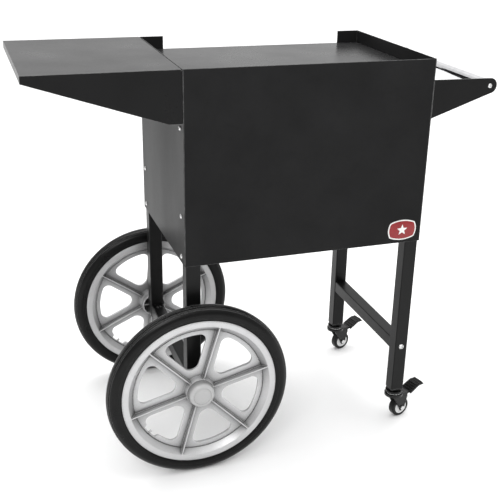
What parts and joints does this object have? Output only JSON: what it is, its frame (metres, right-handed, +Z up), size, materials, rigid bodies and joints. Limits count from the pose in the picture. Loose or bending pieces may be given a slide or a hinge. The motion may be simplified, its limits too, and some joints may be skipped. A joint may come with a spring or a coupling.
{
  "type": "popcorn cart",
  "caption": "Two-wheeled cart that carries a popcorn machine: open-backed black steel cabinet on square legs, side shelf, push handle, spoked wheels and braked swivel casters.",
  "frame": {"origin": "middle of the whole cart in X and Y, on the floor in Z", "axes": "+Z up; the front panel faces -Y; the side shelf is at -X and the push handle at +X, along the cart's length"},
  "size_m": [1.011, 0.5338, 0.893],
  "materials": {
    "cabinet_paint": "satin black powder coat on folded sheet steel",
    "frame_paint": "satin black powder coat on square tube",
    "handle_chrome": "bright chrome plated tube",
    "zinc": "bright zinc plated fasteners",
    "axle_steel": "plain turned steel bar",
    "rim_plastic": "silver-grey moulded plastic, fine matt grain",
    "cap_plastic": "light grey moulded plastic hub cap",
    "tyre_rubber": "semi-gloss black rubber tyre",
    "black_plastic": "black moulded plastic",
    "caster_steel": "black coated pressed steel",
    "caster_hub_plastic": "white moulded plastic wheel hub",
    "caster_tread": "black moulded tread",
    "plug_steel": "plain steel threaded plug",
    "badge_enamel": "glossy red and white badge plate"
  },
  "bodies": {
    "cart_frame": {"front_panel": "cabinet_paint", "left_side_panel": "cabinet_paint", "right_side_panel": "cabinet_paint", "deck_tray": "cabinet_paint", "cabinet_floor": "cabinet_paint", "side_shelf": "cabinet_paint", "shelf_bolts": "zinc", "panel_bolts": "zinc", "badge": "badge_enamel", "front_left_leg": "frame_paint", "rear_left_leg": "frame_paint", "front_right_leg": "frame_paint", "rear_right_leg": "frame_paint", "left_brace": "frame_paint", "right_brace": "frame_paint", "brace_end_plugs": "plug_steel", "brace_bolts": "zinc", "leg_end_caps": "black_plastic", "caster_sockets": "black_plastic", "handle_bracket_front": "cabinet_paint", "handle_bracket_rear": "cabinet_paint", "handle_tube": "handle_chrome", "handle_end_plugs": "plug_steel", "handle_screws": "zinc", "handle_bracket_bolts": "zinc", "axle": "axle_steel", "axle_lock_bolts": "zinc", "axle_washers": "zinc", "axle_nuts": "zinc", "front_caster_stem": "caster_steel", "rear_caster_stem": "caster_steel"},
    "front_wheel": {"front_wheel_rim": "rim_plastic", "front_wheel_tyre": "tyre_rubber", "front_wheel_cap": "cap_plastic"},
    "rear_wheel": {"rear_wheel_rim": "rim_plastic", "rear_wheel_tyre": "tyre_rubber", "rear_wheel_cap": "cap_plastic"},
    "front_caster_swivel": {"front_caster_fork": "caster_steel", "front_caster_ball_race": "zinc", "front_caster_axle": "zinc"},
    "front_caster_wheel": {"front_caster_hub": "caster_hub_plastic", "front_caster_tyre": "caster_tread"},
    "front_caster_pedal": {"front_caster_brake_pedal": "black_plastic"},
    "rear_caster_swivel": {"rear_caster_fork": "caster_steel", "rear_caster_ball_race": "zinc", "rear_caster_axle": "zinc"},
    "rear_caster_wheel": {"rear_caster_hub": "caster_hub_plastic", "rear_caster_tyre": "caster_tread"},
    "rear_caster_pedal": {"rear_caster_brake_pedal": "black_plastic"}
  },
  "joints": [
    {"name": "front_wheel_spin", "type": "hinge", "parent": "cart_frame", "child": "front_wheel", "pos_m": [-0.1835, -0.2335, 0.203], "axis": [0, 1, 0], "continuous": true},
    {"name": "front_caster_turn", "type": "hinge", "parent": "cart_frame", "child": "front_caster_swivel", "pos_m": [0.3305, -0.18, 0.068], "axis": [0, 0, 1], "continuous": true},
    {"name": "front_caster_roll", "type": "hinge", "parent": "front_caster_swivel", "child": "front_caster_wheel", "pos_m": [0.34991, -0.17516, 0.025], "axis": [-0.2419, 0.9703, 0], "continuous": true},
    {"name": "front_caster_brake", "type": "hinge", "parent": "front_caster_swivel", "child": "front_caster_pedal", "pos_m": [0.36058, -0.1725, 0.058], "axis": [-0.2419, 0.9703, 0], "range_deg": [0, 20]},
    {"name": "rear_wheel_spin", "type": "hinge", "parent": "cart_frame", "child": "rear_wheel", "pos_m": [-0.1835, 0.2335, 0.203], "axis": [0, 1, 0], "continuous": true},
    {"name": "rear_caster_turn", "type": "hinge", "parent": "cart_frame", "child": "rear_caster_swivel", "pos_m": [0.3305, 0.18, 0.068], "axis": [0, 0, 1], "continuous": true},
    {"name": "rear_caster_roll", "type": "hinge", "parent": "rear_caster_swivel", "child": "rear_caster_wheel", "pos_m": [0.34991, 0.18484, 0.025], "axis": [-0.2419, 0.9703, 0], "continuous": true},
    {"name": "rear_caster_brake", "type": "hinge", "parent": "rear_caster_swivel", "child": "rear_caster_pedal", "pos_m": [0.36058, 0.1875, 0.058], "axis": [-0.2419, 0.9703, 0], "range_deg": [0, 20]}
  ]
}
